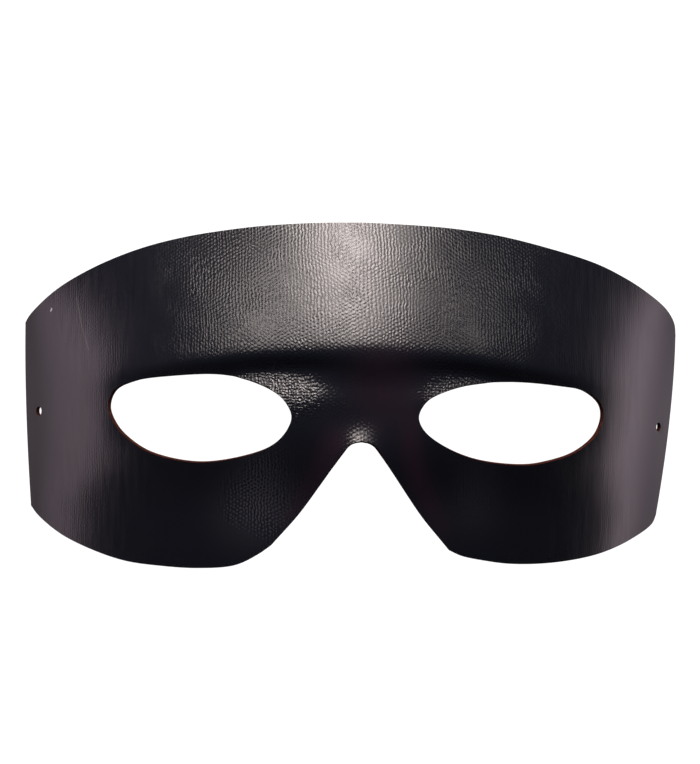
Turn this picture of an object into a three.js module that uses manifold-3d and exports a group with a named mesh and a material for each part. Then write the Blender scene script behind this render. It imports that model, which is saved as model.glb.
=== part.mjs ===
// A domino mask: one thin sheet of leather-look board, pressed to a brow, eye sockets and the tip of a nose.
// It has two eye openings, a notch for the nose, and a punched hole near each side edge for a cord.
// Millimetres. X runs across the face, Y up the face and Z out of it.
// The mask lies face up on its two side edges, and the origin is the middle of its footprint.

import * as THREE from 'three';
import { ParametricGeometry } from 'three/addons/geometries/ParametricGeometry.js';
import { mergeGeometries, mergeVertices } from 'three/addons/utils/BufferGeometryUtils.js';
import Module from 'manifold-3d';

// Sheet, with its skin
const SHEET_THICKNESS = 1.2;

// Outline, measured from the eye line (Y = 0) and the middle of the nose (X = 0)
const TOP_RISE = 45.5;
const NOTCH_TOP = 11.9;
const NOTCH_ROUND = 2.5;
const LEFT_HALF_WIDTH = 90;
const RIGHT_HALF_WIDTH = 90.7;
const LEFT_SIDE_TOP = 18.4;
const RIGHT_SIDE_TOP = 18;
const LEFT_SIDE_FOOT = 31.9;
const RIGHT_SIDE_FOOT = 31.7;
const LEFT_SIDE_TAPER = 2.4;
const RIGHT_SIDE_TAPER = 4.6;
const TAPER_POWER = 1.7;
const LEFT_TOP_BULGE = 10.5;
const RIGHT_TOP_BULGE = 11.2;
const LEFT_CHEEK_BULGE = 10.4;
const RIGHT_CHEEK_BULGE = 8.1;
const LEFT_NOTCH_FOOT_X = 23.1;
const RIGHT_NOTCH_FOOT_X = 24.6;
const LEFT_NOTCH_FOOT = 40;
const RIGHT_NOTCH_FOOT = 40.7;

// Eye openings
const LEFT_EYE_X = 42.5;
const RIGHT_EYE_X = 41.1;
const EYE_DROP = 6.9;
const LEFT_EYE_WIDTH = 48;
const RIGHT_EYE_WIDTH = 52.4;
const LEFT_EYE_HEIGHT = 23.2;
const RIGHT_EYE_HEIGHT = 22;

// Cord holes, from the side edge and below the eye line, and how far their punch reaches past each face
const CORD_HOLE_DIAMETER = 2.5;
const CORD_HOLE_INSET = 3.6;
const LEFT_CORD_HOLE_DROP = 5.9;
const RIGHT_CORD_HOLE_DROP = 7.4;
const PUNCH_REACH = 1.8;

// Arch across the face, and how late its relief dies out towards the side edges
const ARCH_DEPTH = 58;
const ARCH_POWER = 2.05;
const HOLD_POWER = 3;

// Forehead, which leans back above the crest of the brow, and how the brow falls towards the temples
const CREST_LEVEL = 10.4;
const CREST_SOFTNESS = 2;
const BROW_FALL = 0.14;
const BROW_FALL_START = 24;
const BROW_FALL_SOFTNESS = 4;
const FOREHEAD_SLOPE = 0.3;
const FOREHEAD_CURVE = 0.002;

// Sockets: a low step under the brow, which turns back up by the inner corners of the eyes
const SOCKET_DEPTH = 2.6;
const SOCKET_STEP_TOP = 12.1;
const SOCKET_STEP_RUN = 7;
const SOCKET_FADE_START = 46;
const SOCKET_FADE_END = 70;
const SOCKET_RISE_TOP = 7.8;
const SOCKET_RISE_RUN = 12;
const SOCKET_CORNER_END = 28;
const SOCKET_OUTER_START = 52;
const SOCKET_OUTER_DROP = 13;

// Bridge between the sockets, a little off the middle, and the tip of the nose above the notch
const BRIDGE_MIDDLE = 3.5;
const BRIDGE_HALF_WIDTH = 15.5;
const BRIDGE_DEPTH = 2.8;
const BRIDGE_TOP = 14;
const BRIDGE_RUN = 14;
const NOSE_HEIGHT = 3.6;
const NOSE_TOP = 4;
const NOSE_RUN = 16;
const NOSE_HALF_WIDTH = 5.5;

// Cheeks, which fall away below the eyes, and further on both sides of the nose
const CHEEK_SLOPE = 0.12;
const CHEEK_TOP = 12;
const CHEEK_SOFTNESS = 5;
const CHEEK_DROP = 4.5;
const CHEEK_DROP_TOP = 6;
const CHEEK_DROP_RUN = 28;
const CHEEK_DROP_HALF_WIDTH = 11;

// Fineness of the mesh
const RINGS = 12;
const RING_GATHER = 1.5;
const TOP_SEGMENTS = 24;
const SIDE_SEGMENTS = 12;
const CHEEK_SEGMENTS = 16;
const NOTCH_SEGMENTS = 10;
const CENTRE_SEGMENTS = 16;
const EYE_STEPS = 240;
const HOLE_SIDES = 16;
const SLOPE_STEP = 0.05;
const MERGE_DISTANCE = 1e-4;

// Spare sheet below the resting plane, which the last cut takes off
const SIDE_STOCK = 0.8;
const CUTTER_MARGIN = 10;

// Top edge, from the centre (0) to the side (1), with its rise over the straight line as a share of the bulge
const LEFT_TOP_ROWS = [
  { along: 0, bulge: 0 },
  { along: 0.13, bulge: 0.31 },
  { along: 0.24, bulge: 0.54 },
  { along: 0.34, bulge: 0.72 },
  { along: 0.52, bulge: 0.95 },
  { along: 0.66, bulge: 1 },
  { along: 0.8, bulge: 0.87 },
  { along: 0.91, bulge: 0.59 },
  { along: 0.987, bulge: 0.16 },
  { along: 1, bulge: 0 },
];
const RIGHT_TOP_ROWS = [
  { along: 0, bulge: 0 },
  { along: 0.08, bulge: 0.18 },
  { along: 0.25, bulge: 0.54 },
  { along: 0.4, bulge: 0.78 },
  { along: 0.55, bulge: 0.92 },
  { along: 0.71, bulge: 1 },
  { along: 0.79, bulge: 0.955 },
  { along: 0.88, bulge: 0.82 },
  { along: 0.966, bulge: 0.56 },
  { along: 0.995, bulge: 0.29 },
  { along: 1, bulge: 0 },
];

// Cheek edge, from the notch's foot (0) to the side's foot (1), with its drop as a share of the bulge
const LEFT_CHEEK_ROWS = [
  { along: 0, bulge: 0 },
  { along: 0.05, bulge: 0.27 },
  { along: 0.14, bulge: 0.63 },
  { along: 0.29, bulge: 0.86 },
  { along: 0.45, bulge: 0.97 },
  { along: 0.59, bulge: 1 },
  { along: 0.73, bulge: 0.87 },
  { along: 0.87, bulge: 0.6 },
  { along: 0.97, bulge: 0.21 },
  { along: 1, bulge: 0 },
];
const RIGHT_CHEEK_ROWS = [
  { along: 0, bulge: 0 },
  { along: 0.05, bulge: 0.22 },
  { along: 0.16, bulge: 0.51 },
  { along: 0.27, bulge: 0.74 },
  { along: 0.44, bulge: 0.94 },
  { along: 0.62, bulge: 1 },
  { along: 0.74, bulge: 0.93 },
  { along: 0.87, bulge: 0.69 },
  { along: 0.98, bulge: 0.3 },
  { along: 1, bulge: 0 },
];

// Notch flank, from the top (0) to the foot (1), with how far it stands out from the straight line
const NOTCH_ROWS = [
  { down: 0, round: 0 },
  { down: 0.014, round: 0.7 },
  { down: 0.046, round: 1 },
  { down: 0.127, round: 0.93 },
  { down: 0.26, round: 0.66 },
  { down: 0.44, round: 0.29 },
  { down: 0.7, round: -0.08 },
  { down: 1, round: 0 },
];

// Eye openings in shares of half their width (out, away from the nose) and half their height (up)
const LEFT_EYE_ROWS = [
  { out: -1, up: 0.12 },
  { out: -0.87, up: 0.55 },
  { out: -0.62, up: 0.84 },
  { out: -0.25, up: 1 },
  { out: 0.27, up: 0.96 },
  { out: 0.7, up: 0.83 },
  { out: 0.93, up: 0.62 },
  { out: 1, up: 0.24 },
  { out: 0.93, up: -0.15 },
  { out: 0.79, up: -0.47 },
  { out: 0.52, up: -0.81 },
  { out: 0, up: -1 },
  { out: -0.52, up: -0.82 },
  { out: -0.8, up: -0.57 },
  { out: -0.96, up: -0.2 },
];
const RIGHT_EYE_ROWS = [
  { out: -1, up: 0.15 },
  { out: -0.91, up: 0.52 },
  { out: -0.57, up: 0.88 },
  { out: -0.07, up: 1 },
  { out: 0.47, up: 0.93 },
  { out: 0.8, up: 0.8 },
  { out: 0.97, up: 0.5 },
  { out: 1, up: 0.2 },
  { out: 0.93, up: -0.24 },
  { out: 0.7, up: -0.67 },
  { out: 0.36, up: -0.93 },
  { out: 0.09, up: -1 },
  { out: -0.42, up: -0.86 },
  { out: -0.78, up: -0.5 },
  { out: -0.96, up: -0.14 },
];

const LEFT = {
  sign: -1,
  halfWidth: LEFT_HALF_WIDTH,
  sideTop: LEFT_SIDE_TOP,
  sideFoot: -LEFT_SIDE_FOOT,
  taper: LEFT_SIDE_TAPER,
  topBulge: LEFT_TOP_BULGE,
  topRows: LEFT_TOP_ROWS,
  cheekBulge: LEFT_CHEEK_BULGE,
  cheekRows: LEFT_CHEEK_ROWS,
  notchFoot: new THREE.Vector2(-LEFT_NOTCH_FOOT_X, -LEFT_NOTCH_FOOT),
  eyeX: -LEFT_EYE_X,
  eyeWidth: LEFT_EYE_WIDTH,
  eyeHeight: LEFT_EYE_HEIGHT,
  eyeRows: LEFT_EYE_ROWS,
  holeDrop: LEFT_CORD_HOLE_DROP,
};
const RIGHT = {
  sign: 1,
  halfWidth: RIGHT_HALF_WIDTH,
  sideTop: RIGHT_SIDE_TOP,
  sideFoot: -RIGHT_SIDE_FOOT,
  taper: RIGHT_SIDE_TAPER,
  topBulge: RIGHT_TOP_BULGE,
  topRows: RIGHT_TOP_ROWS,
  cheekBulge: RIGHT_CHEEK_BULGE,
  cheekRows: RIGHT_CHEEK_ROWS,
  notchFoot: new THREE.Vector2(RIGHT_NOTCH_FOOT_X, -RIGHT_NOTCH_FOOT),
  eyeX: RIGHT_EYE_X,
  eyeWidth: RIGHT_EYE_WIDTH,
  eyeHeight: RIGHT_EYE_HEIGHT,
  eyeRows: RIGHT_EYE_ROWS,
  holeDrop: RIGHT_CORD_HOLE_DROP,
};

// Eases from 0 to 1 with no corner at either end
function ease(t) {
  return THREE.MathUtils.smootherstep(t, 0, 1);
}

// Zero below 0 and t above it, with a bend of the given softness
function softRamp(t, softness) {
  return Math.max(0, t) + softness * Math.log1p(Math.exp(-Math.abs(t) / softness));
}

// Distance from the centre to the side edge at a level, which draws in towards the cheek
function sideDistance(side, level) {
  const below = Math.max(0, (side.sideTop - level) / (side.sideTop - side.sideFoot));
  return side.halfWidth - side.taper * below ** TAPER_POWER;
}

// How far the line of the brow has fallen on its way out to the temples
function browFall(across) {
  return BROW_FALL * softRamp(across - BROW_FALL_START, BROW_FALL_SOFTNESS);
}

function foreheadRelief(across, level) {
  const above = softRamp(level - CREST_LEVEL + browFall(across), CREST_SOFTNESS);
  return -FOREHEAD_SLOPE * above - FOREHEAD_CURVE * above ** 2;
}

function cheekRelief(across, level) {
  const slope = -CHEEK_SLOPE * softRamp(-CHEEK_TOP - level, CHEEK_SOFTNESS);
  const drop = CHEEK_DROP * ease((-CHEEK_DROP_TOP - level) / CHEEK_DROP_RUN);
  return slope - drop * (1 - Math.exp(-((across / CHEEK_DROP_HALF_WIDTH) ** 2)));
}

function socketRelief(x, level) {
  const across = Math.abs(x);
  const step = ease((SOCKET_STEP_TOP - browFall(across) - level) / SOCKET_STEP_RUN);
  const fade = 1 - ease((across - SOCKET_FADE_START) / (SOCKET_FADE_END - SOCKET_FADE_START));
  const outer = ease((across - SOCKET_CORNER_END) / (SOCKET_OUTER_START - SOCKET_CORNER_END));
  const riseTop = SOCKET_RISE_TOP - SOCKET_OUTER_DROP * outer;
  const socket = -SOCKET_DEPTH * step * fade * (1 - ease((riseTop - level) / SOCKET_RISE_RUN));
  const bridge = Math.exp(-(((x - BRIDGE_MIDDLE) / BRIDGE_HALF_WIDTH) ** 2));
  return (1 - bridge) * socket - bridge * BRIDGE_DEPTH * ease((BRIDGE_TOP - level) / BRIDGE_RUN);
}

function noseRelief(across, level) {
  return NOSE_HEIGHT * ease((-NOSE_TOP - level) / NOSE_RUN) * Math.exp(-((across / NOSE_HALF_WIDTH) ** 2));
}

// Height of the face over the resting plane: the relief dies out towards the side edges
function faceHeight(x, y) {
  const across = Math.abs(x);
  const share = across / sideDistance(x < 0 ? LEFT : RIGHT, y);
  const arch = ARCH_DEPTH * (1 - share ** ARCH_POWER);
  const hold = Math.max(0, 1 - share ** HOLD_POWER);
  const upper = foreheadRelief(across, y) + socketRelief(x, y);
  return arch + hold * (upper + noseRelief(across, y) + cheekRelief(across, y));
}

function faceNormal(x, y) {
  const slopeX = (faceHeight(x + SLOPE_STEP, y) - faceHeight(x - SLOPE_STEP, y)) / (2 * SLOPE_STEP);
  const slopeY = (faceHeight(x, y + SLOPE_STEP) - faceHeight(x, y - SLOPE_STEP)) / (2 * SLOPE_STEP);
  return new THREE.Vector3(-slopeX, -slopeY, 1).normalize();
}

// A smooth line through plan points, at even steps
function smoothLine(points, count) {
  const curve = new THREE.CatmullRomCurve3(points.map((p) => new THREE.Vector3(p.x, p.y, 0)));
  return curve.getSpacedPoints(count).map((p) => new THREE.Vector2(p.x, p.y));
}

// Points between two ends, each lifted off the straight line by a share of the bulge
function bulgedLine(start, end, rows, bulge) {
  return rows.map((row) => {
    const point = start.clone().lerp(end, row.along);
    point.y += bulge * row.bulge;
    return point;
  });
}

// One half's edge: top, side, cheek, notch and the centre line, each as its own stretch of points
function edgeStretches(side) {
  const topCentre = new THREE.Vector2(0, TOP_RISE);
  const notchTop = new THREE.Vector2(0, -NOTCH_TOP);
  const sidePoint = (level, stock) => (
    new THREE.Vector2(side.sign * (sideDistance(side, level) + stock), level)
  );
  const sideTop = sidePoint(side.sideTop, 0);
  const sideFoot = sidePoint(side.sideFoot, 0);
  const top = smoothLine(bulgedLine(topCentre, sideTop, side.topRows, side.topBulge), TOP_SEGMENTS);
  const edge = [sideTop];
  for (let i = 0; i <= SIDE_SEGMENTS; i++) {
    const level = THREE.MathUtils.lerp(side.sideTop, side.sideFoot, i / SIDE_SEGMENTS);
    edge.push(sidePoint(level, SIDE_STOCK));
  }
  edge.push(sideFoot);
  const cheekRows = bulgedLine(side.notchFoot, sideFoot, side.cheekRows, -side.cheekBulge);
  const cheek = smoothLine(cheekRows.reverse(), CHEEK_SEGMENTS);
  const notchRows = NOTCH_ROWS.map((row) => {
    const point = notchTop.clone().lerp(side.notchFoot, row.down);
    point.x += side.sign * NOTCH_ROUND * row.round;
    return point;
  });
  const notch = smoothLine(notchRows.reverse(), NOTCH_SEGMENTS);
  const centre = [];
  for (let i = 0; i <= CENTRE_SEGMENTS; i++) {
    centre.push(notchTop.clone().lerp(topCentre, i / CENTRE_SEGMENTS));
  }
  return [top, edge, cheek, notch, centre];
}

// The eye opening's edge as seen from its middle: the point that lies in the same direction as a target
function eyeEdge(side) {
  const middle = new THREE.Vector2(side.eyeX, -EYE_DROP);
  const points = side.eyeRows.map((row) => new THREE.Vector3(
    middle.x + side.sign * row.out * side.eyeWidth / 2,
    middle.y + row.up * side.eyeHeight / 2,
    0,
  ));
  const curve = new THREE.CatmullRomCurve3(points, true);
  const edge = curve.getPoints(EYE_STEPS).map((p) => new THREE.Vector2(p.x, p.y));
  return (target) => {
    const ray = target.clone().sub(middle);
    for (let i = 0; i < EYE_STEPS; i++) {
      const a = edge[i].clone().sub(middle);
      const b = edge[i + 1].clone().sub(middle);
      const crossA = ray.cross(a);
      const crossB = ray.cross(b);
      if (crossA * crossB <= 0 && crossA !== crossB && ray.dot(a) > 0) {
        return edge[i].clone().lerp(edge[i + 1], crossA / (crossA - crossB));
      }
    }
    return middle;
  };
}

// A patch of quads through rows of points
function patch(rows) {
  const across = rows[0].length - 1;
  const down = rows.length - 1;
  const pick = (u, v, target) => target.copy(rows[Math.round(v * down)][Math.round(u * across)]);
  return new ParametricGeometry(pick, across, down);
}

function onFace(point) {
  return new THREE.Vector3(point.x, point.y, faceHeight(point.x, point.y));
}

function onBack(point) {
  return onFace(point).addScaledVector(faceNormal(point.x, point.y), -SHEET_THICKNESS);
}

// One half of the sheet: rings from its edge to the eye opening, front and back, with the cut edges between
function halfSheet(side) {
  const stretches = edgeStretches(side);
  const loop = stretches.flatMap((stretch) => stretch.slice(1));
  const trimmed = loop.length - CENTRE_SEGMENTS;
  loop.unshift(loop[loop.length - 1]);
  const toEye = eyeEdge(side);
  const eye = loop.map(toEye);
  const rings = [];
  for (let i = 0; i <= RINGS; i++) {
    const outward = (1 - i / RINGS) ** RING_GATHER;
    rings.push(loop.map((point, j) => eye[j].clone().lerp(point, outward)));
  }
  const front = rings.map((ring) => ring.map(onFace));
  const back = rings.map((ring) => ring.map(onBack));
  const edge = [back[0].slice(0, trimmed + 1), front[0].slice(0, trimmed + 1)];
  const eyeWall = [front[RINGS], back[RINGS]];
  const patches = [front, back.slice().reverse(), edge, eyeWall];
  if (side.sign > 0) {
    patches.forEach((rows) => rows.forEach((row, i) => { rows[i] = row.slice().reverse(); }));
  }
  return patches.map(patch);
}

const wasm = await Module();
wasm.setup();

function toSolid(geometry) {
  const bare = geometry.clone();
  bare.deleteAttribute('normal');
  bare.deleteAttribute('uv');
  const merged = mergeVertices(bare, MERGE_DISTANCE);
  return new wasm.Manifold(new wasm.Mesh({
    numProp: 3,
    vertProperties: new Float32Array(merged.attributes.position.array),
    triVerts: new Uint32Array(merged.index.array),
  }));
}

function toGeometry(solid) {
  const mesh = solid.getMesh();
  const geometry = new THREE.BufferGeometry();
  geometry.setAttribute('position', new THREE.BufferAttribute(mesh.vertProperties, 3));
  geometry.setIndex(new THREE.BufferAttribute(mesh.triVerts, 1));
  geometry.computeVertexNormals();
  return geometry;
}

// Everything below the resting plane
function floorCutter() {
  const width = LEFT_HALF_WIDTH + RIGHT_HALF_WIDTH + 2 * CUTTER_MARGIN;
  const height = 2 * (TOP_RISE + CUTTER_MARGIN);
  const cutter = new THREE.BoxGeometry(width, height, CUTTER_MARGIN);
  return cutter.translate(0, 0, -CUTTER_MARGIN / 2);
}

// A punch through the sheet, square to its surface
function cordHolePunch(side) {
  const y = -side.holeDrop;
  const x = side.sign * (sideDistance(side, y) - CORD_HOLE_INSET);
  const radius = CORD_HOLE_DIAMETER / 2;
  const length = SHEET_THICKNESS + 2 * PUNCH_REACH;
  const punch = new THREE.CylinderGeometry(radius, radius, length, HOLE_SIDES);
  const turn = new THREE.Quaternion().setFromUnitVectors(new THREE.Vector3(0, 1, 0), faceNormal(x, y));
  const place = new THREE.Matrix4().compose(onFace({ x, y }), turn, new THREE.Vector3(1, 1, 1));
  return punch.applyMatrix4(place);
}

function maskShell() {
  let sheet = toSolid(mergeGeometries([...halfSheet(LEFT), ...halfSheet(RIGHT)]));
  sheet = sheet.subtract(toSolid(floorCutter()));
  for (const side of [LEFT, RIGHT]) {
    sheet = sheet.subtract(toSolid(cordHolePunch(side)));
  }
  const geometry = toGeometry(sheet);
  geometry.computeBoundingBox();
  const middle = geometry.boundingBox.getCenter(new THREE.Vector3());
  geometry.translate(-middle.x, -middle.y, 0);
  const skin = new THREE.MeshStandardMaterial({ color: 0x1c181b, roughness: 0.42, metalness: 0 });
  const mesh = new THREE.Mesh(geometry, skin);
  mesh.name = 'mask_shell';
  return mesh;
}

const group = new THREE.Group();
group.add(maskShell());

export default group;
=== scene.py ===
"""The looks of a domino mask: black grained leatherette on thin board, face up on a lit white table."""
import math

import bmesh
import bpy
import numpy as np
from mathutils import Matrix, Vector


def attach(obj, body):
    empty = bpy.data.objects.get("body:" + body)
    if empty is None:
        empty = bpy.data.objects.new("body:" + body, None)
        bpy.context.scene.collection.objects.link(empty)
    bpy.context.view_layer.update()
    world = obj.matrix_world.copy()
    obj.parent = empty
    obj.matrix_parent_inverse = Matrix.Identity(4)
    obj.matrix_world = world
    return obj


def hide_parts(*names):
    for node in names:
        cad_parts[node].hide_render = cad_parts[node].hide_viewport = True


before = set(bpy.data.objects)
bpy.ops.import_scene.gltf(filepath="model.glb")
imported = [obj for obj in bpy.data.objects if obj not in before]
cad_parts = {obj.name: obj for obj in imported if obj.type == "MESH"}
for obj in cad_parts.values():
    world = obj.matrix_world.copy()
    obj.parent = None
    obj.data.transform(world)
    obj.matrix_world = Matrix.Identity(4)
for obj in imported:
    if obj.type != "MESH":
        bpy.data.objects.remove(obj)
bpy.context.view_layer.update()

scene = bpy.context.scene
scene.view_settings.view_transform = "Standard"

# The camera of the photograph: almost straight above the mask, a little to its left, with the picture
# turned one degree. The eye line's middle lies just below the middle of the picture.
MM = 0.001
CAD_SHIFT_X = -0.35
CAD_SHIFT_Y = 0.578
CAMERA_DISTANCE = 0.9
CAMERA_LEAN = math.radians(3.4)
CAMERA_ROLL = math.radians(1.0)
CAMERA_RISE = math.radians(0.229)
CAMERA_LENS = 152.93

camera_data = bpy.data.cameras.new("photo_camera")
camera_data.lens = CAMERA_LENS
camera = bpy.data.objects.new("photo_camera", camera_data)
scene.collection.objects.link(camera)
face_middle = Vector((CAD_SHIFT_X * MM, CAD_SHIFT_Y * MM, 0))
camera_way = Vector((-math.sin(CAMERA_LEAN), 0, math.cos(CAMERA_LEAN)))
camera.matrix_world = (
    Matrix.Translation(face_middle + CAMERA_DISTANCE * camera_way)
    @ Matrix.Rotation(-CAMERA_LEAN, 4, "Y")
    @ Matrix.Rotation(CAMERA_ROLL, 4, "Z")
    @ Matrix.Rotation(CAMERA_RISE, 4, "X")
)
scene.camera = camera

# The studio: a dim room with two soft lamps beyond the forehead. The short one is bright in its middle, and
# the long one behind it hangs a little askew and reaches further round the sides. The picture's background
# is white, so only what the camera sees of the room is pale: the mask mirrors the lamps and the table.
# Sizes in metres. A lamp's light is given by stops, each a share of its width or height and a strength.
LAMP_DISTANCE = 1.2
LAMP_TILT = math.radians(52)
LAMP_ASIDE = -0.05
LAMP_COLOUR = (0.97, 1.0, 0.90)
POWER_FOR_BRIGHTNESS = 4
SHORT_LAMP = (2.4, 1.2)
SHORT_LAMP_BRIGHTNESS = 24.5
SHORT_LAMP_ACROSS = (
    (0.25, 0), (0.35, 0.18), (0.42, 0.43), (0.48, 0.82), (0.525, 1), (0.56, 0.7), (0.61, 0.35),
    (0.7, 0.16), (0.85, 0),
)
SHORT_LAMP_UP = ((0, 0.1), (0.16, 0.42), (0.32, 0.78), (0.5, 1))
LONG_LAMP = (6.24, 1.2)
LONG_LAMP_TURN = math.radians(4.8)
LONG_LAMP_BRIGHTNESS = 11.5
LONG_LAMP_ACROSS = (
    (0.12, 0), (0.22, 0.03), (0.29, 0.2), (0.345, 0.95), (0.375, 1), (0.42, 0.76), (0.46, 0.54),
    (0.52, 0.37), (0.6, 0.33), (0.68, 0.37), (0.75, 0.21), (0.82, 0.05), (1, 0),
)
LONG_LAMP_UP = (
    (0, 0), (0.12, 0.1), (0.24, 0.6), (0.34, 1), (0.44, 0.44), (0.52, 0.15), (0.62, 0.03), (1, 0),
)
ROOM_LIGHT = (0.020, 0.020, 0.023, 1)
BACKDROP = (1.0, 1.0, 1.0, 1)


def feed(tree, socket, value):
    """Set a socket to a fixed value, or link another node's output to it."""
    if isinstance(value, bpy.types.NodeSocket):
        tree.links.new(value, socket)
    else:
        socket.default_value = value


def number(tree, operation, *terms):
    """A sum on numbers, each a fixed value or another node's output."""
    node = tree.nodes.new("ShaderNodeMath")
    node.operation = operation
    for socket, term in zip(node.inputs, terms):
        feed(tree, socket, term)
    return node.outputs[0]


def ramp(tree, share, stops):
    """A colour that changes as the share goes from 0 to 1, by stops of a share and a colour."""
    node = tree.nodes.new("ShaderNodeValToRGB")
    elements = node.color_ramp.elements
    while len(elements) < len(stops):
        elements.new(0.5)
    for element, (position, colour) in zip(elements, stops):
        element.position = position
        element.color = colour
    feed(tree, node.inputs[0], share)
    return node.outputs[0]


def soft_lamp(name, size, turn, brightness, across, up):
    """A lamp panel whose light rises and falls across it and up it by the shares given."""
    panel = bpy.data.lights.new(name, "AREA")
    panel.shape = "RECTANGLE"
    panel.size, panel.size_y = size
    panel.energy = POWER_FOR_BRIGHTNESS * size[0] * size[1] * brightness
    panel.color = LAMP_COLOUR
    panel.use_nodes = True
    tree = panel.node_tree
    place = tree.nodes.new("ShaderNodeNewGeometry")
    ways = tree.nodes.new("ShaderNodeSeparateXYZ")
    feed(tree, ways.inputs[0], place.outputs["Parametric"])
    falls = [
        ramp(tree, ways.outputs[way], [(position, (share, share, share, 1)) for position, share in shares])
        for way, shares in (("X", across), ("Y", up))
    ]
    feed(tree, tree.nodes["Emission"].inputs["Strength"], number(tree, "MULTIPLY", *falls))
    lamp = bpy.data.objects.new(name, panel)
    lamp.visible_camera = False
    scene.collection.objects.link(lamp)
    back = Vector((LAMP_ASIDE, math.sin(LAMP_TILT), math.cos(LAMP_TILT))).normalized()
    side = Vector((0, 1, 0)).cross(back).normalized()
    facing = Matrix((side, back.cross(side), back)).transposed().to_4x4()
    lamp.matrix_world = Matrix.Translation(LAMP_DISTANCE * back) @ facing @ Matrix.Rotation(turn, 4, "Z")


soft_lamp("short_lamp", SHORT_LAMP, 0, SHORT_LAMP_BRIGHTNESS, SHORT_LAMP_ACROSS, SHORT_LAMP_UP)
soft_lamp("long_lamp", LONG_LAMP, LONG_LAMP_TURN, LONG_LAMP_BRIGHTNESS, LONG_LAMP_ACROSS, LONG_LAMP_UP)

world = bpy.data.worlds.new("studio")
scene.world = world
world.use_nodes = True
tree = world.node_tree
room = tree.nodes["Background"]
room.inputs["Color"].default_value = ROOM_LIGHT
backdrop = tree.nodes.new("ShaderNodeBackground")
backdrop.inputs["Color"].default_value = BACKDROP
path = tree.nodes.new("ShaderNodeLightPath")
seen = tree.nodes.new("ShaderNodeMixShader")
feed(tree, seen.inputs[0], path.outputs["Is Camera Ray"])
feed(tree, seen.inputs[1], room.outputs[0])
feed(tree, seen.inputs[2], backdrop.outputs[0])
feed(tree, tree.nodes["World Output"].inputs["Surface"], seen.outputs[0])

# The table: a white sheet lit from below, which the camera sees as plain white. What the mask mirrors of it
# is a painted glow: a painted shadow of the mask close by, then painted light beside it, which dies away to
# the right and below the cheeks. Places in metres, and each stop of the light gives a place across the table
# and a colour.
TABLE_HALF = 5.0
TABLE_DROP = 0.0002
TABLE_COLOUR = (0.06, 0.06, 0.06, 1)
TABLE_GLOW = 3.0
TABLE_LEFT = -1.0
TABLE_RIGHT = 0.3
# Stops of the painted glow: the low stops by the mask are its painted shadow, the others painted light.
TABLE_STOPS = (
    (-0.90, 0.50, 0.43, 0.48), (-0.24, 0.54, 0.46, 0.51), (-0.14, 0.41, 0.35, 0.39),
    (-0.104, 0.20, 0.17, 0.19), (0.100, 0.27, 0.23, 0.26), (0.13, 0.66, 0.56, 0.63),
    (0.16, 0.58, 0.50, 0.55), (0.20, 0.38, 0.33, 0.36), (0.25, 0.10, 0.09, 0.10), (0.30, 0, 0, 0),
)
TABLE_SEEN = (0.35, 0.35, 0.35, 1)
TABLE_LIFT_START = 0
TABLE_LIFT_END = 0.12
TABLE_LIFT = 1.4
TABLE_FADE_START = -0.30
TABLE_FADE_END = -0.50
TABLE_FADE_FROM = 0.12
TABLE_FADE_SLANT = -2.7
TABLE_FADE_RIGHT = 2.5


def spanned(tree, value, start, end, at_start=0, at_end=1):
    """What a value comes to on its way from start to end, held level before and after."""
    node = tree.nodes.new("ShaderNodeMapRange")
    for socket, term in zip(node.inputs, (value, start, end, at_start, at_end)):
        feed(tree, socket, term)
    return node.outputs["Result"]


def mixed(tree, share, colour, other, blend="MIX"):
    """The first colour, and the other where the share is 1."""
    node = tree.nodes.new("ShaderNodeMix")
    node.data_type = "RGBA"
    node.blend_type = blend
    for name, value in (("Factor", share), ("A", colour), ("B", other)):
        feed(tree, node.inputs[name], value)
    return node.outputs["Result"]


bm = bmesh.new()
bmesh.ops.create_grid(bm, x_segments=1, y_segments=1, size=TABLE_HALF)
bmesh.ops.translate(bm, verts=bm.verts, vec=(0, 0, -TABLE_DROP))
table_mesh = bpy.data.meshes.new("white_table")
bm.to_mesh(table_mesh)
bm.free()
table = bpy.data.objects.new("white_table", table_mesh)
scene.collection.objects.link(table)
white = bpy.data.materials.new("lit_white_sheet")
white.use_nodes = True
tree = white.node_tree
shader = tree.nodes["Principled BSDF"]
shader.inputs["Base Color"].default_value = TABLE_COLOUR
shader.inputs["Roughness"].default_value = 1.0
shader.inputs["Specular IOR Level"].default_value = 0.0
shader.inputs["Emission Strength"].default_value = TABLE_GLOW
place = tree.nodes.new("ShaderNodeTexCoord")
ways = tree.nodes.new("ShaderNodeSeparateXYZ")
feed(tree, ways.inputs[0], place.outputs["Object"])
across, up = ways.outputs["X"], ways.outputs["Y"]
table_width = TABLE_RIGHT - TABLE_LEFT
glow = ramp(
    tree,
    spanned(tree, across, TABLE_LEFT, TABLE_RIGHT),
    [((x - TABLE_LEFT) / table_width, (*colour, 1)) for x, *colour in TABLE_STOPS],
)
beyond = number(tree, "MAXIMUM", number(tree, "SUBTRACT", across, TABLE_FADE_FROM), 0)
hurry = number(tree, "MULTIPLY_ADD", number(tree, "GREATER_THAN", across, 0), TABLE_FADE_RIGHT, 1)
below = number(tree, "MULTIPLY", hurry, up)
slanted = number(tree, "MULTIPLY_ADD", beyond, TABLE_FADE_SLANT, below)
fade = spanned(tree, slanted, TABLE_FADE_END, TABLE_FADE_START)
lift = spanned(tree, up, TABLE_LIFT_START, TABLE_LIFT_END, 1, TABLE_LIFT)
faded = mixed(tree, 1, glow, number(tree, "MULTIPLY", fade, lift), "MULTIPLY")
path = tree.nodes.new("ShaderNodeLightPath")
# Only rays other than the camera's see the painted glow; the camera sees the table plain.
feed(tree, shader.inputs["Emission Color"], mixed(tree, path.outputs["Is Camera Ray"], faded, TABLE_SEEN))
table_mesh.materials.append(white)

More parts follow.
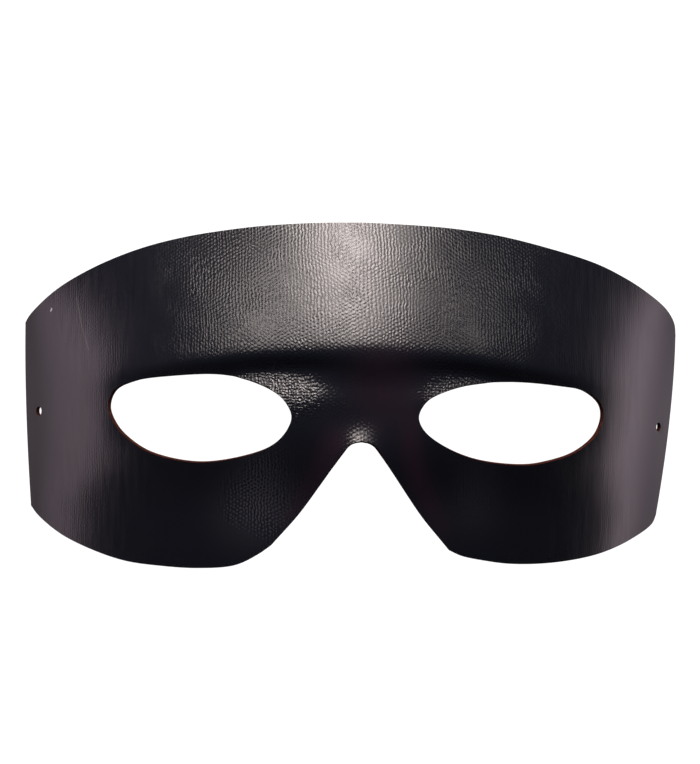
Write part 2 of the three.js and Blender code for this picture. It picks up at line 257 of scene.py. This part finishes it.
# The mask: one sheet of brown fibre board with a black leatherette skin, pressed hot over a form and
# then stamped out, so that its edges show the board. Two holes are punched by the side edges for a cord.
# Sizes in millimetres, on the face's own lines: X from the middle of the nose, Y from the eye line.
SHEET_THICKNESS = 1.2
TOP_RISE = 45.5
NOTCH_TOP = 11.9
NOTCH_ROUND = 2.5
TAPER_POWER = 1.7
EYE_DROP = 6.9
ARCH_DEPTH = 58
ARCH_POWER = 2.05
HOLD_POWER = 3
CREST_LEVEL = 10.4
CREST_SOFTNESS = 2
BROW_FALL = 0.14
BROW_FALL_START = 24
BROW_FALL_SOFTNESS = 4
FOREHEAD_SLOPE = 0.3
FOREHEAD_CURVE = 0.002
SOCKET_DEPTH = 2.6
SOCKET_STEP_TOP = 12.1
SOCKET_STEP_RUN = 7
SOCKET_FADE_START = 46
SOCKET_FADE_END = 70
SOCKET_RISE_TOP = 7.8
SOCKET_RISE_RUN = 12
SOCKET_CORNER_END = 28
SOCKET_OUTER_START = 52
SOCKET_OUTER_DROP = 13
BRIDGE_MIDDLE = 3.5
BRIDGE_HALF_WIDTH = 15.5
BRIDGE_DEPTH = 2.8
BRIDGE_TOP = 14
BRIDGE_RUN = 14
NOSE_HEIGHT = 3.6
NOSE_TOP = 4
NOSE_RUN = 16
NOSE_HALF_WIDTH = 5.5
CHEEK_SLOPE = 0.12
CHEEK_TOP = 12
CHEEK_SOFTNESS = 5
CHEEK_DROP = 4.5
CHEEK_DROP_TOP = 6
CHEEK_DROP_RUN = 28
CHEEK_DROP_HALF_WIDTH = 11
SIDE_STOCK = 0.8

# Each half of the outline: the rows give how far along a line a point lies, and its share of the bulge
LEFT = {
    "sign": -1,
    "half_width": 90,
    "side_top": 18.4,
    "side_foot": -31.9,
    "taper": 2.4,
    "top_bulge": 10.5,
    "top_rows": [
        (0, 0), (0.13, 0.31), (0.24, 0.54), (0.34, 0.72), (0.52, 0.95),
        (0.66, 1), (0.8, 0.87), (0.91, 0.59), (0.987, 0.16), (1, 0),
    ],
    "cheek_bulge": 10.4,
    "cheek_rows": [
        (0, 0), (0.05, 0.27), (0.14, 0.63), (0.29, 0.86), (0.45, 0.97),
        (0.59, 1), (0.73, 0.87), (0.87, 0.6), (0.97, 0.21), (1, 0),
    ],
    "notch_foot": (-23.1, -40),
    "eye_x": -42.5,
    "eye_width": 48,
    "eye_height": 23.2,
    "eye_rows": [
        (-1, 0.12), (-0.87, 0.55), (-0.62, 0.84), (-0.25, 1), (0.27, 0.96),
        (0.7, 0.83), (0.93, 0.62), (1, 0.24), (0.93, -0.15), (0.79, -0.47),
        (0.52, -0.81), (0, -1), (-0.52, -0.82), (-0.8, -0.57), (-0.96, -0.2),
    ],
    "hole_drop": 5.9,
}
RIGHT = {
    "sign": 1,
    "half_width": 90.7,
    "side_top": 18,
    "side_foot": -31.7,
    "taper": 4.6,
    "top_bulge": 11.2,
    "top_rows": [
        (0, 0), (0.08, 0.18), (0.25, 0.54), (0.4, 0.78), (0.55, 0.92), (0.71, 1),
        (0.79, 0.955), (0.88, 0.82), (0.966, 0.56), (0.995, 0.29), (1, 0),
    ],
    "cheek_bulge": 8.1,
    "cheek_rows": [
        (0, 0), (0.05, 0.22), (0.16, 0.51), (0.27, 0.74), (0.44, 0.94),
        (0.62, 1), (0.74, 0.93), (0.87, 0.69), (0.98, 0.3), (1, 0),
    ],
    "notch_foot": (24.6, -40.7),
    "eye_x": 41.1,
    "eye_width": 52.4,
    "eye_height": 22,
    "eye_rows": [
        (-1, 0.15), (-0.91, 0.52), (-0.57, 0.88), (-0.07, 1), (0.47, 0.93),
        (0.8, 0.8), (0.97, 0.5), (1, 0.2), (0.93, -0.24), (0.7, -0.67),
        (0.36, -0.93), (0.09, -1), (-0.42, -0.86), (-0.78, -0.5), (-0.96, -0.14),
    ],
    "hole_drop": 7.4,
}
NOTCH_ROWS = [
    (0, 0), (0.014, 0.7), (0.046, 1), (0.127, 0.93),
    (0.26, 0.66), (0.44, 0.29), (0.7, -0.08), (1, 0),
]


def ease(t):
    """A smooth step from 0 to 1."""
    t = np.clip(t, 0, 1)
    return t**3 * (t * (6 * t - 15) + 10)


def soft_ramp(t, softness):
    """Nothing below zero and t above it, with a soft turn between them."""
    return softness * np.logaddexp(0, np.asarray(t) / softness)


def side_distance(side, level):
    """How far the side edge lies from the middle of the face at a level."""
    below = np.maximum(0, (side["side_top"] - level) / (side["side_top"] - side["side_foot"]))
    return side["half_width"] - side["taper"] * below**TAPER_POWER


def brow_fall(across):
    """How far the line of the brow has fallen on its way out to the temples."""
    return BROW_FALL * soft_ramp(across - BROW_FALL_START, BROW_FALL_SOFTNESS)


def socket_relief(x, level):
    """The sockets, a step down below the brow that turns back up, and the bridge between them."""
    across = np.abs(x)
    step = ease((SOCKET_STEP_TOP - brow_fall(across) - level) / SOCKET_STEP_RUN)
    fade = 1 - ease((across - SOCKET_FADE_START) / (SOCKET_FADE_END - SOCKET_FADE_START))
    outer = ease((across - SOCKET_CORNER_END) / (SOCKET_OUTER_START - SOCKET_CORNER_END))
    rise_top = SOCKET_RISE_TOP - SOCKET_OUTER_DROP * outer
    socket = -SOCKET_DEPTH * step * fade * (1 - ease((rise_top - level) / SOCKET_RISE_RUN))
    bridge = np.exp(-(((x - BRIDGE_MIDDLE) / BRIDGE_HALF_WIDTH) ** 2))
    return (1 - bridge) * socket - bridge * BRIDGE_DEPTH * ease((BRIDGE_TOP - level) / BRIDGE_RUN)


def nose_relief(across, level):
    """The tip of the nose above the notch, and the cheeks, which fall away on both sides of it."""
    tip = NOSE_HEIGHT * ease((-NOSE_TOP - level) / NOSE_RUN) * np.exp(-((across / NOSE_HALF_WIDTH) ** 2))
    cheek = CHEEK_DROP * ease((-CHEEK_DROP_TOP - level) / CHEEK_DROP_RUN)
    return tip - cheek * (1 - np.exp(-((across / CHEEK_DROP_HALF_WIDTH) ** 2)))


def face_height(x, y):
    """The height of the skin above what the mask lies on."""
    across = np.abs(x)
    share = across / np.where(x < 0, side_distance(LEFT, y), side_distance(RIGHT, y))
    above = soft_ramp(y - CREST_LEVEL + brow_fall(across), CREST_SOFTNESS)
    relief = -FOREHEAD_SLOPE * above - FOREHEAD_CURVE * above**2
    relief = relief - CHEEK_SLOPE * soft_ramp(-CHEEK_TOP - y, CHEEK_SOFTNESS)
    relief = relief + socket_relief(x, y) + nose_relief(across, y)
    hold = np.maximum(0, 1 - share**HOLD_POWER)
    return ARCH_DEPTH * (1 - share**ARCH_POWER) + hold * relief


FINE_STEPS = 40
SHORTEST_STEP = 1e-4


def smooth_line(points, count, closed=False):
    """A smooth line through points, cut into even steps."""
    points = np.array(points, float)
    if closed:
        ends = np.vstack([points[-1:], points, points[:2]])
    else:
        ends = np.vstack([2 * points[0] - points[1], points, 2 * points[-1] - points[-2]])
    t = np.linspace(0, 1, FINE_STEPS, endpoint=False)[:, None]
    line = []
    for a, b, c, d in zip(ends, ends[1:], ends[2:], ends[3:]):
        ab, bc, cd = (max(np.linalg.norm(q - p), SHORTEST_STEP) ** 0.5 for p, q in ((a, b), (b, c), (c, d)))
        start = ((b - a) / ab - (c - a) / (ab + bc) + (c - b) / bc) * bc
        end = ((c - b) / bc - (d - b) / (bc + cd) + (d - c) / cd) * bc
        square = 3 * (c - b) - 2 * start - end
        cube = 2 * (b - c) + start + end
        line.append(b + start * t + square * t**2 + cube * t**3)
    line.append(ends[-2][None])
    line = np.vstack(line)
    run = np.concatenate([[0], np.cumsum(np.linalg.norm(np.diff(line, axis=0), axis=1))])
    even = np.linspace(0, run[-1], count + 1)
    return np.stack([np.interp(even, run, line[:, i]) for i in (0, 1)], 1)


def bulged_line(start, end, rows, bulge):
    """Points along a line that bulges up or down by the shares in the rows."""
    start, end = np.array(start, float), np.array(end, float)
    return [start + (end - start) * along + (0, bulge * share) for along, share in rows]


# One half's edge in plan: top, side, cheek, notch and the centre line
TOP_STEPS = 100
SIDE_STEPS = 56
CHEEK_STEPS = 76
NOTCH_STEPS = 44
CENTRE_STEPS = 60
EYE_STEPS = 720
RINGS = 44
RING_GATHER = 1.5
GRID_HALF = 0.5
SEAM_REACH = 1e-4


def half_edge(side):
    top_centre = np.array([0, TOP_RISE])
    notch_top = np.array([0, -NOTCH_TOP])
    level = np.linspace(side["side_top"], side["side_foot"], SIDE_STEPS + 1)
    edge = np.stack([side["sign"] * (side_distance(side, level) + SIDE_STOCK), level], 1)
    side_top = (side["sign"] * side_distance(side, side["side_top"]), side["side_top"])
    side_foot = (side["sign"] * side_distance(side, side["side_foot"]), side["side_foot"])
    top = smooth_line(bulged_line(top_centre, side_top, side["top_rows"], side["top_bulge"]), TOP_STEPS)
    cheek_line = bulged_line(side["notch_foot"], side_foot, side["cheek_rows"], -side["cheek_bulge"])
    cheek = smooth_line(cheek_line[::-1], CHEEK_STEPS)
    foot = np.array(side["notch_foot"])
    flank = [
        notch_top + (foot - notch_top) * down + (side["sign"] * NOTCH_ROUND * out, 0)
        for down, out in NOTCH_ROWS
    ]
    notch = smooth_line(flank[::-1], NOTCH_STEPS)
    centre = notch_top + (top_centre - notch_top) * np.linspace(0, 1, CENTRE_STEPS + 1)[:, None]
    return np.vstack([top, edge, cheek, notch[1:], centre[1:]])


def eye_points(side, targets):
    """The eye opening's edge in the direction of each target, seen from the opening's middle."""
    middle = np.array([side["eye_x"], -EYE_DROP])
    half = np.array([side["sign"] * side["eye_width"] / 2, side["eye_height"] / 2])
    line = smooth_line(np.array(side["eye_rows"]) * half, EYE_STEPS, closed=True)
    angle = np.arctan2(line[:, 1], line[:, 0])
    order = np.argsort(angle[:-1])
    away = targets - middle
    radius = np.hypot(*line[:-1].T)[order]
    way = np.arctan2(away[:, 1], away[:, 0])
    rim = np.interp(way, angle[:-1][order], radius, period=2 * math.pi)
    return middle + away * (rim / np.hypot(*away.T))[:, None]


def half_sheet(bm, side):
    """One half of the sheet in plan: a grid whose rows run from the outline to the eye opening."""
    edge = half_edge(side)
    eye = eye_points(side, edge)
    around = len(edge) - 1
    made = bmesh.ops.create_grid(bm, x_segments=around, y_segments=RINGS, size=GRID_HALF)
    for vert in made["verts"]:
        i = round((vert.co.x + GRID_HALF) * around)
        outward = (1 - round((vert.co.y + GRID_HALF) * RINGS) / RINGS) ** RING_GATHER
        vert.co.xy = eye[i] + (edge[i] - eye[i]) * outward


bm = bmesh.new()
half_sheet(bm, LEFT)
half_sheet(bm, RIGHT)
bmesh.ops.remove_doubles(bm, verts=bm.verts, dist=SEAM_REACH)

# Cord holes: a patch is cleared and its rim made round, then drawn in ring by ring to the hole
CORD_HOLE_DIAMETER = 2.5
CORD_HOLE_INSET = 3.6
DIMPLE_DEPTH = 0.12
DIMPLE_WIDTH = 1.9
DIMPLE_FLATNESS = 4
PATCH_REACH = 2.6
PATCH_MARGIN = 1.2
COLLAR_STEPS = 6
SLOPE_STEP = 0.1


def hole_middle(side):
    y = -side["hole_drop"]
    return side["sign"] * (side_distance(side, y) - CORD_HOLE_INSET), y


def side_squeeze(x, y):
    """How much a length across a steep side panel shortens when it is seen in plan."""
    slope = (face_height(x + SLOPE_STEP, y) - face_height(x - SLOPE_STEP, y)) / (2 * SLOPE_STEP)
    return 1 / math.hypot(1, slope)


def lies_near(point, middle, reach, distance):
    return (reach @ (point - middle)).length < distance


def faces_near(bm, middle, reach, distance):
    return [f for f in bm.faces if lies_near(f.calc_center_median(), middle, reach, distance)]


def walk_around(ring):
    """The rim's vertices in their order around the patch."""
    walk = list(ring[0].verts)
    while len(walk) < len(ring):
        here, before = walk[-1], walk[-2]
        ahead = [e.other_vert(here) for e in here.link_edges if e in ring]
        walk.append(next(v for v in ahead if v != before))
    return walk


for side in (LEFT, RIGHT):
    x, y = hole_middle(side)
    middle = Vector((x, y, 0))
    squeeze = side_squeeze(x, y)
    reach = Matrix.Diagonal((1 / squeeze, 1, 1))
    around = faces_near(bm, middle, reach, PATCH_REACH + PATCH_MARGIN)
    coarse = list({e for f in around for e in f.edges})
    bmesh.ops.subdivide_edges(bm, edges=coarse, cuts=1, use_grid_fill=True)
    bmesh.ops.delete(bm, geom=faces_near(bm, middle, reach, PATCH_REACH), context="FACES")
    ring = [
        e for e in bm.edges
        if e.is_boundary and all(lies_near(v.co, middle, reach, PATCH_REACH + PATCH_MARGIN) for v in e.verts)
    ]
    rim = walk_around(ring)
    flat = [reach @ (v.co - middle) for v in rim]
    angles = np.unwrap([math.atan2(p.y, p.x) for p in flat])
    even = np.arange(len(rim)) * math.copysign(2 * math.pi / len(rim), angles[-1] - angles[0])
    for vert, angle in zip(rim, even + np.mean(angles - even)):
        vert.co = middle + PATCH_REACH * Vector((math.cos(angle) * squeeze, math.sin(angle), 0))
    radius = PATCH_REACH
    for step in np.linspace(PATCH_REACH, CORD_HOLE_DIAMETER / 2, COLLAR_STEPS + 1)[1:]:
        made = bmesh.ops.extrude_edge_only(bm, edges=ring)["geom"]
        inner = {v for v in made if isinstance(v, bmesh.types.BMVert)}
        ring = [e for e in made if isinstance(e, bmesh.types.BMEdge) and inner.issuperset(e.verts)]
        shrink = step / radius
        bmesh.ops.scale(bm, verts=list(inner), vec=(shrink, shrink, 1), space=Matrix.Translation(-middle))
        radius = step

bmesh.ops.triangulate(bm, faces=[f for f in bm.faces if len(f.verts) > 4])
places = np.array([v.co[:2] for v in bm.verts])
heights = face_height(places[:, 0], places[:, 1])
for side in (LEFT, RIGHT):
    x, y = hole_middle(side)
    squeeze = side_squeeze(x, y)
    away = np.hypot((places[:, 0] - x) / squeeze, places[:, 1] - y)
    heights = heights - DIMPLE_DEPTH * np.exp(-((away / DIMPLE_WIDTH) ** DIMPLE_FLATNESS))
for vert, height in zip(bm.verts, heights):
    vert.co.z = height
bmesh.ops.recalc_face_normals(bm, faces=bm.faces)
if sum(f.normal.z for f in bm.faces) < 0:
    bmesh.ops.reverse_faces(bm, faces=bm.faces)
bmesh.ops.translate(bm, verts=bm.verts, vec=(CAD_SHIFT_X, CAD_SHIFT_Y, 0))
bmesh.ops.scale(bm, verts=bm.verts, vec=(MM, MM, MM))
sheet_mesh = bpy.data.meshes.new("mask_sheet")
bm.to_mesh(sheet_mesh)
bm.free()

# The wall, then the flat that the side edges rest on, then the worn corner of every cut edge
SKIN, BOARD, CUT = 0, 1, 2
EDGE_ROUND = 0.28
SHARP_TURN = math.radians(32)
FLAT_REACH = 1e-7

skin = bpy.data.materials.new("black_leatherette")
board = bpy.data.materials.new("fibre_board")
cut = bpy.data.materials.new("cut_board_edge")
sheet = bpy.data.objects.new("mask_sheet", sheet_mesh)
scene.collection.objects.link(sheet)
for material in (skin, board, cut):
    sheet_mesh.materials.append(material)
wall = sheet.modifiers.new("wall", "SOLIDIFY")
wall.thickness = SHEET_THICKNESS * MM
wall.offset = -1
wall.use_even_offset = True
wall.material_offset = BOARD
wall.material_offset_rim = CUT
solid_mesh = bpy.data.meshes.new_from_object(sheet.evaluated_get(bpy.context.evaluated_depsgraph_get()))
bpy.data.objects.remove(sheet)

bm = bmesh.new()
bm.from_mesh(solid_mesh)
everything = bm.verts[:] + bm.edges[:] + bm.faces[:]
bmesh.ops.bisect_plane(
    bm, geom=everything, dist=FLAT_REACH, plane_co=(0, 0, 0), plane_no=(0, 0, 1), clear_inner=True
)
land = bmesh.ops.holes_fill(bm, edges=[e for e in bm.edges if e.is_boundary], sides=0)
for face in land["faces"]:
    face.material_index = CUT
bmesh.ops.recalc_face_normals(bm, faces=land["faces"])
corners = [e for e in bm.edges if {f.material_index for f in e.link_faces} == {SKIN, CUT}]
rounded = bmesh.ops.bevel(
    bm, geom=corners, offset=EDGE_ROUND * MM, segments=2, profile=0.5,
    affect="EDGES", material=-1, clamp_overlap=True,
)
for face in rounded["faces"]:
    face.material_index = CUT
for face in bm.faces:
    face.smooth = True
for edge in bm.edges:
    one_material = len({f.material_index for f in edge.link_faces}) == 1
    edge.smooth = one_material and edge.calc_face_angle(0) < SHARP_TURN

# The skin's own map: X follows the arch as the flat sheet did before it was pressed, Y runs up the face
ARCH_REACH = 95
ARCH_STEPS = 400
arch_x = np.linspace(0, ARCH_REACH, ARCH_STEPS)
arch_share = arch_x / LEFT["half_width"]
arch_slope = ARCH_DEPTH * ARCH_POWER / LEFT["half_width"] * arch_share ** (ARCH_POWER - 1)
arch_run = np.concatenate([[0], np.cumsum(np.hypot(1, arch_slope[1:]) * np.diff(arch_x))])


def on_sheet(x, y):
    """Where a point of the plan, in millimetres, lies on the flat skin, in metres."""
    return math.copysign(np.interp(abs(x), arch_x, arch_run), x) * MM, y * MM


uv_layer = bm.loops.layers.uv.new("sheet")
for face in bm.faces:
    for loop in face.loops:
        loop[uv_layer].uv = on_sheet(loop.vert.co.x / MM - CAD_SHIFT_X, loop.vert.co.y / MM - CAD_SHIFT_Y)
mask_mesh = bpy.data.meshes.new("mask_shell_sheet")
bm.to_mesh(mask_mesh)
bm.free()
for material in (skin, board, cut):
    mask_mesh.materials.append(material)
mask = bpy.data.objects.new("mask_shell_sheet", mask_mesh)
scene.collection.objects.link(mask)

# The pressed grain: ribs about a millimetre apart run three ways over the skin and make beads where they
# cross. Slow patches let one way or another come forward, so the beads line up in changing rows. Sizes in
# metres, as the materials read them.
GRAIN_PITCH = 0.00092
GRAIN_WAYS = ((2, 1.22), (60, 0.6), (119, 0.6))
GRAIN_LEAST = 0.35
GRAIN_PATCH = 0.007
GRAIN_PATCH_SPAN = (0.3, 0.7)
GRAIN_PATCH_SHIFT = 0.021
GRAIN_WANDER = 0.0005
GRAIN_WANDER_SIZE = 0.011
GRAIN_STRAY = 0.00032
GRAIN_STRAY_SIZE = 0.0014
BEAD_PITCH = 0.00078
BEAD_STRAY = 0.55
BEAD_FALL = 2
NOISE_MIDDLE = 0.5


def vector(tree, operation, *terms):
    """A sum on vectors, each a fixed value or another node's output."""
    node = tree.nodes.new("ShaderNodeVectorMath")
    node.operation = operation
    for socket, term in zip(node.inputs, terms):
        feed(tree, socket, term)
    return node.outputs["Value" if operation in ("DOT_PRODUCT", "DISTANCE") else "Vector"]


def noise(tree, place, size, detail=0):
    """Noise whose patches have the size given."""
    node = tree.nodes.new("ShaderNodeTexNoise")
    node.inputs["Scale"].default_value = 1 / size
    node.inputs["Detail"].default_value = detail
    feed(tree, node.inputs["Vector"], place)
    return node


def new_group(name, inputs, outputs):
    """A node group with its ways in and out, each a name and a kind of socket."""
    group = bpy.data.node_groups.new(name, "ShaderNodeTree")
    for way, sockets in (("INPUT", inputs), ("OUTPUT", outputs)):
        for socket_name, kind in sockets:
            group.interface.new_socket(socket_name, in_out=way, socket_type="NodeSocket" + kind)
    given = group.nodes.new("NodeGroupInput").outputs
    out = group.nodes.new("NodeGroupOutput").inputs
    return group, given, out


grain, given, out = new_group("pressed_grain", [("Pitch", "Float")], [("Rows", "Float"), ("Beads", "Float")])
on_skin = grain.nodes.new("ShaderNodeTexCoord").outputs["UV"]
here = on_skin
for size, amount in ((GRAIN_WANDER_SIZE, GRAIN_WANDER), (GRAIN_STRAY_SIZE, GRAIN_STRAY)):
    drift = noise(grain, on_skin, size)
    drift.noise_dimensions = "2D"
    centred = vector(grain, "SUBTRACT", drift.outputs["Color"], (NOISE_MIDDLE, NOISE_MIDDLE, NOISE_MIDDLE))
    here = vector(grain, "MULTIPLY_ADD", centred, (amount * 2, amount * 2, 0), here)
turn_rate = number(grain, "DIVIDE", 2 * math.pi, given["Pitch"])
rows = 0
for place, (way, strength) in enumerate(GRAIN_WAYS):
    turn = math.radians(way)
    along = vector(grain, "DOT_PRODUCT", here, (math.cos(turn), math.sin(turn), 0))
    rib = number(grain, "COSINE", number(grain, "MULTIPLY", along, turn_rate))
    elsewhere = vector(grain, "ADD", on_skin, (0, 0, GRAIN_PATCH_SHIFT * place))
    patch = noise(grain, elsewhere, GRAIN_PATCH).outputs["Fac"]
    weight = spanned(grain, patch, *GRAIN_PATCH_SPAN, GRAIN_LEAST * strength, strength)
    rows = number(grain, "MULTIPLY_ADD", rib, weight, rows)
beads = grain.nodes.new("ShaderNodeTexVoronoi")
beads.voronoi_dimensions = "2D"
beads.inputs["Scale"].default_value = 1 / BEAD_PITCH
beads.inputs["Randomness"].default_value = BEAD_STRAY
feed(grain, beads.inputs["Vector"], here)
feed(grain, out["Rows"], rows)
feed(grain, out["Beads"], number(grain, "MULTIPLY_ADD", beads.outputs["Distance"], -BEAD_FALL, 1))

# A mark on the skin: the way from its middle line, as a share of its width, makes a soft-edged stroke
stroke, given, out = new_group(
    "pressed_mark", [("Start", "Vector"), ("Run", "Vector"), ("Width", "Float")], [("Mask", "Float")]
)
on_skin = stroke.nodes.new("ShaderNodeTexCoord").outputs["UV"]
from_start = vector(stroke, "SUBTRACT", on_skin, given["Start"])
ahead = vector(stroke, "DOT_PRODUCT", from_start, given["Run"])
whole = vector(stroke, "DOT_PRODUCT", given["Run"], given["Run"])
share = number(stroke, "DIVIDE", ahead, whole)
share.node.use_clamp = True
aside = vector(stroke, "DISTANCE", from_start, vector(stroke, "MULTIPLY", given["Run"], share))
soft_edge = spanned(stroke, aside, 0, given["Width"], 1, 0)
soft_edge.node.interpolation_type = "SMOOTHSTEP"
feed(stroke, out["Mask"], soft_edge)

# How deep the rows lie (shallow on the stretched sides and outer cheeks), where beads stand among them (in
# the eyes' inner corners, where the form pressed least), where a reddish reflection is painted on the skin
# (at the bridge and along the notch), and where a pale sheen is painted on the tops of the grain (in a patch
# on each cheek). Each spot gives its middle, half width and half height in millimetres, on the face's own
# lines, and its strength.
SIDE_GRAIN = 0.12
SMOOTH_START = 37
SMOOTH_END = 66
BEAD_SPOTS = ((-22, 2, 12, 9, 4.2), (-16.5, -2, 5, 5, 2), (23.5, 3, 9, 8, 3.6))
CALM_SPOTS = ((-56, -24, 14, 20, -0.7), (56, -24, 14, 20, -0.7))
# Spots of painted reflection, reddish: one on the bridge and strips along both sides of the notch.
PAINTED_REFLECTION_SPOTS = (
    (5.5, 3, 9, 12, 0.55), (-6.8, -12.5, 4, 5, 0.5), (-9.5, -19, 4, 5, 0.5), (-13, -26, 4, 5, 0.4),
    (-17, -32, 4, 5, 0.3), (12.6, -8, 3, 5, 0.3), (13.2, -14.5, 3, 5, 0.5), (15.2, -21, 3, 5, 0.55),
    (18.4, -28, 3, 5, 0.5), (22, -34, 3, 5, 0.3),
)
# Spots of painted sheen: a pale, grainy highlight in a patch on each cheek.
PAINTED_SHEEN_SPOTS = ((-26, -22, 7, 9, 0.36), (-24, -31, 7, 9, 0.4), (-32, -31, 7, 9, 0.3), (31, -25, 7, 10, 0.3))


def spread(spots, x, y, sharpness):
    """The sum of oval spots over the points, which fade outwards more sharply for a higher sharpness."""
    total = np.zeros(len(x))
    for middle_x, middle_y, half_width, half_height, strength in spots:
        away = ((x - middle_x) / half_width) ** 2 + ((y - middle_y) / half_height) ** 2
        total += strength * np.exp(-(away**sharpness))
    return total


points = np.empty(len(mask_mesh.vertices) * 3)
mask_mesh.vertices.foreach_get("co", points)
points = points.reshape(-1, 3) / MM - (CAD_SHIFT_X, CAD_SHIFT_Y, 0)
plan = points[:, 0], points[:, 1]
smooth = ease((np.abs(points[:, 0]) - SMOOTH_START) / (SMOOTH_END - SMOOTH_START))
for name, values in (
    ("row_depth", np.maximum(SIDE_GRAIN, 1 - (1 - SIDE_GRAIN) * smooth + spread(CALM_SPOTS, *plan, 2))),
    ("bead_depth", spread(BEAD_SPOTS, *plan, 2)),
    ("painted_reflection", spread(PAINTED_REFLECTION_SPOTS, *plan, 1)),
    ("painted_sheen", spread(PAINTED_SHEEN_SPOTS, *plan, 1)),
):
    mask_mesh.attributes.new(name, "FLOAT", "POINT").data.foreach_set("value", values.astype(np.float32))

# The skin: a glossy black film on the board, which the press gave its grain and stretched into fine streaks
# down the sides. On the left of the forehead it has a thin crease, and a nick whose glint is painted as a
# pale spot. The points of both are in millimetres, on the face's own lines, and all other sizes in metres.
SKIN_COLOUR = (0.0030, 0.0033, 0.0056, 1)
# The colour of the painted reddish reflection on the bridge and along the notch.
PAINTED_REFLECTION_COLOUR = (0.0118, 0.0052, 0.0098, 1)
# The colour of the painted sheen on the cheeks, laid on the tops of the grain between the two shares below.
PAINTED_SHEEN_COLOUR = (0.036, 0.031, 0.042, 1)
SHEEN_BELOW = -1.2
SHEEN_ABOVE = 1.4
SKIN_TINT = (1.0, 0.86, 0.92, 1)
SKIN_ROUGHNESS = 0.19
STREAK_SIZE = (0.0016, 0.011, 0.01)
STREAK_DETAIL = 4
STREAK_ROUGHNESS = 0.16
STREAK_RISE = 0.9
GRAIN_RISE = 0.000018
CREASE = ((-75.7, 25.2), (-74.1, 17.4), (-72.1, 11))
CREASE_WIDTH = 0.0005
CREASE_COLOUR = (0.020, 0.017, 0.019, 1)
NICK = ((-82.8, 21.6), (-82.6, 22.1))
NICK_WIDTH = 0.0005
# A painted glint: the nick has no dent in the sheet, only this pale spot.
NICK_GLINT_COLOUR = (0.26, 0.24, 0.27, 1)
skin.use_nodes = True
tree = skin.node_tree
shader = tree.nodes["Principled BSDF"]
shader.inputs["Specular Tint"].default_value = SKIN_TINT


def attribute(name):
    node = tree.nodes.new("ShaderNodeAttribute")
    node.attribute_name = name
    return node.outputs["Fac"]


def mark(start, end, width):
    """A stroke on the skin from start to end."""
    node = tree.nodes.new("ShaderNodeGroup")
    node.node_tree = stroke
    start, end = Vector((*on_sheet(*start), 0)), Vector((*on_sheet(*end), 0))
    for name, value in (("Start", start), ("Run", end - start), ("Width", width)):
        feed(tree, node.inputs[name], value)
    return node.outputs["Mask"]


row_depth = attribute("row_depth")
press = tree.nodes.new("ShaderNodeGroup")
press.node_tree = grain
press.inputs["Pitch"].default_value = GRAIN_PITCH
tops = spanned(tree, press.outputs["Rows"], SHEEN_BELOW, SHEEN_ABOVE)
# Paints the reddish reflection over the bridge and along the notch.
colour = mixed(tree, attribute("painted_reflection"), SKIN_COLOUR, PAINTED_REFLECTION_COLOUR)
# Paints the pale sheen on the cheeks over the tops of the grain.
colour = mixed(tree, number(tree, "MULTIPLY", tops, attribute("painted_sheen")), colour, PAINTED_SHEEN_COLOUR)
for start, end in zip(CREASE, CREASE[1:]):
    colour = mixed(tree, mark(start, end, CREASE_WIDTH), colour, CREASE_COLOUR)
# Paints the nick's glint as a pale spot.
colour = mixed(tree, mark(*NICK, NICK_WIDTH), colour, NICK_GLINT_COLOUR)
feed(tree, shader.inputs["Base Color"], colour)

coord = tree.nodes.new("ShaderNodeTexCoord")
stretched = vector(tree, "DIVIDE", coord.outputs["UV"], STREAK_SIZE)
streaks = noise(tree, stretched, 1, STREAK_DETAIL).outputs["Fac"]
uneven = number(tree, "SUBTRACT", streaks, NOISE_MIDDLE)
streak = number(tree, "MULTIPLY", uneven, spanned(tree, row_depth, 1, SIDE_GRAIN))
relief = number(tree, "MULTIPLY", press.outputs["Rows"], row_depth)
relief = number(tree, "MULTIPLY_ADD", press.outputs["Beads"], attribute("bead_depth"), relief)
relief = number(tree, "MULTIPLY_ADD", streak, STREAK_RISE, relief)
bump = tree.nodes.new("ShaderNodeBump")
bump.inputs["Strength"].default_value = 1
bump.inputs["Distance"].default_value = GRAIN_RISE
feed(tree, bump.inputs["Height"], relief)
feed(tree, shader.inputs["Normal"], bump.outputs["Normal"])
gloss = number(tree, "MULTIPLY_ADD", streak, STREAK_ROUGHNESS, SKIN_ROUGHNESS)
feed(tree, shader.inputs["Roughness"], gloss)

# The bare board of the back and the cut edges: matted brown fibre, darker and redder where the stamp cut it
BOARD_COLOURS = ((0.070, 0.040, 0.026, 1), (0.150, 0.095, 0.062, 1))
BOARD_ROUGHNESS = 0.9
CUT_COLOURS = ((0.011, 0.0025, 0.0022, 1), (0.040, 0.0110, 0.0075, 1))
CUT_ROUGHNESS = 0.8
FIBRE_SIZE = 0.0007
FIBRE_DETAIL = 5
FIBRE_CURL = 1.6
FIBRE_RISE = 0.00005
GLUE_SHARE = 0.32
STRAND_SHARE = 0.68


def matted_fibre(material, dark, light, roughness):
    """Matted fibre, whose strands are lighter than the glue between them."""
    material.use_nodes = True
    tree = material.node_tree
    shader = tree.nodes["Principled BSDF"]
    shader.inputs["Roughness"].default_value = roughness
    shader.inputs["Specular IOR Level"].default_value = 0
    coord = tree.nodes.new("ShaderNodeTexCoord")
    strands = noise(tree, coord.outputs["Object"], FIBRE_SIZE, FIBRE_DETAIL)
    strands.inputs["Distortion"].default_value = FIBRE_CURL
    rise = tree.nodes.new("ShaderNodeBump")
    rise.inputs["Distance"].default_value = FIBRE_RISE
    colour = ramp(tree, strands.outputs["Fac"], ((GLUE_SHARE, dark), (STRAND_SHARE, light)))
    feed(tree, rise.inputs["Height"], strands.outputs["Fac"])
    feed(tree, shader.inputs["Base Color"], colour)
    feed(tree, shader.inputs["Normal"], rise.outputs["Normal"])


matted_fibre(board, *BOARD_COLOURS, BOARD_ROUGHNESS)
matted_fibre(cut, *CUT_COLOURS, CUT_ROUGHNESS)
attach(mask, "root")
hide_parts("mask_shell")
